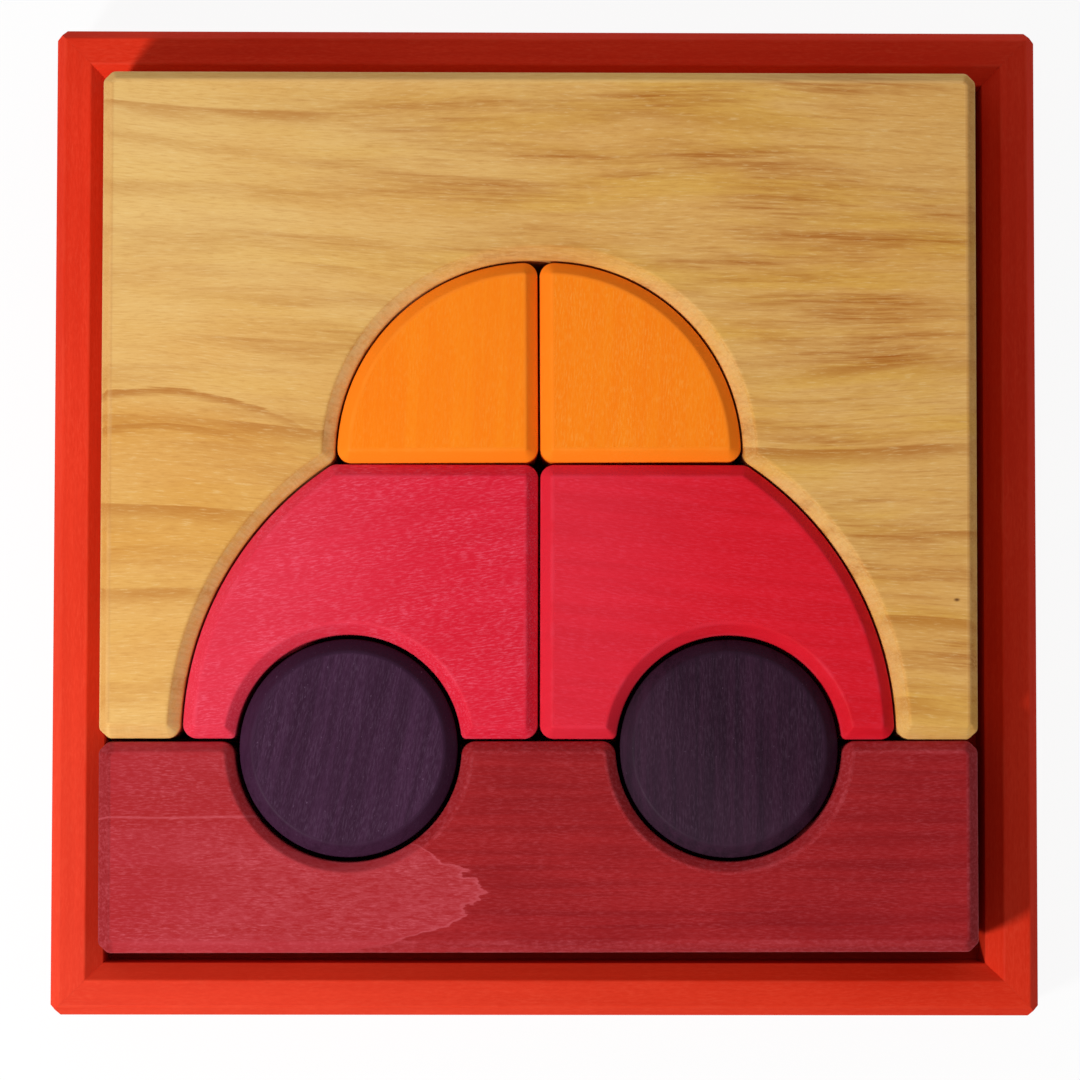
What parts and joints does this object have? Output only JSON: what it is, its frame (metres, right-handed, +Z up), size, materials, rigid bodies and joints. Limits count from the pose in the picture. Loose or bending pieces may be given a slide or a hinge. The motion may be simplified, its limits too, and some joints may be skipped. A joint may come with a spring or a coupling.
{
  "type": "building block set",
  "caption": "Wooden building block set: loose stained blocks nest together into a picture of a car on a road and lift straight out of a shallow square mitred tray.",
  "frame": {"origin": "on the ground under the middle of the tray", "axes": "+Z up out of the tray, +X towards the picture's right, +Y towards the picture's top"},
  "size_m": [0.229, 0.2296, 0.0482],
  "materials": {
    "tray_stain": "orange-red stain, waxed, satin",
    "panel_stain": "orange-red stain, matt",
    "sky_wood": "oiled natural wood, satin",
    "road_stain": "dark red stain, waxed, satin",
    "roof_stain": "orange stain, waxed, satin",
    "body_stain": "crimson stain, waxed, satin",
    "wheel_stain": "aubergine stain, waxed, satin"
  },
  "bodies": {
    "tray": {"tray_rail_left": "tray_stain", "tray_rail_right": "tray_stain", "tray_rail_near": "tray_stain", "tray_rail_far": "tray_stain", "base_panel": "panel_stain"},
    "sky": {"sky_block": "sky_wood"},
    "road": {"road_block": "road_stain"},
    "roof_l": {"roof_left": "roof_stain"},
    "roof_r": {"roof_right": "roof_stain"},
    "body_l": {"body_left": "body_stain"},
    "body_r": {"body_right": "body_stain"},
    "wheel_l": {"wheel_left": "wheel_stain"},
    "wheel_r": {"wheel_right": "wheel_stain"}
  },
  "joints": [
    {"name": "sky_lift", "type": "slide", "parent": "tray", "child": "sky", "axis": [0, 0, 1], "range_m": [0, 0.05]},
    {"name": "road_lift", "type": "slide", "parent": "tray", "child": "road", "axis": [0, 0, 1], "range_m": [0, 0.05]},
    {"name": "roof_left_lift", "type": "slide", "parent": "tray", "child": "roof_l", "axis": [0, 0, 1], "range_m": [0, 0.05]},
    {"name": "roof_right_lift", "type": "slide", "parent": "tray", "child": "roof_r", "axis": [0, 0, 1], "range_m": [0, 0.05]},
    {"name": "body_left_lift", "type": "slide", "parent": "tray", "child": "body_l", "axis": [0, 0, 1], "range_m": [0, 0.05]},
    {"name": "body_right_lift", "type": "slide", "parent": "tray", "child": "body_r", "axis": [0, 0, 1], "range_m": [0, 0.05]},
    {"name": "wheel_left_lift", "type": "slide", "parent": "tray", "child": "wheel_l", "axis": [0, 0, 1], "range_m": [0, 0.05]},
    {"name": "wheel_right_lift", "type": "slide", "parent": "tray", "child": "wheel_r", "axis": [0, 0, 1], "range_m": [0, 0.05]}
  ]
}
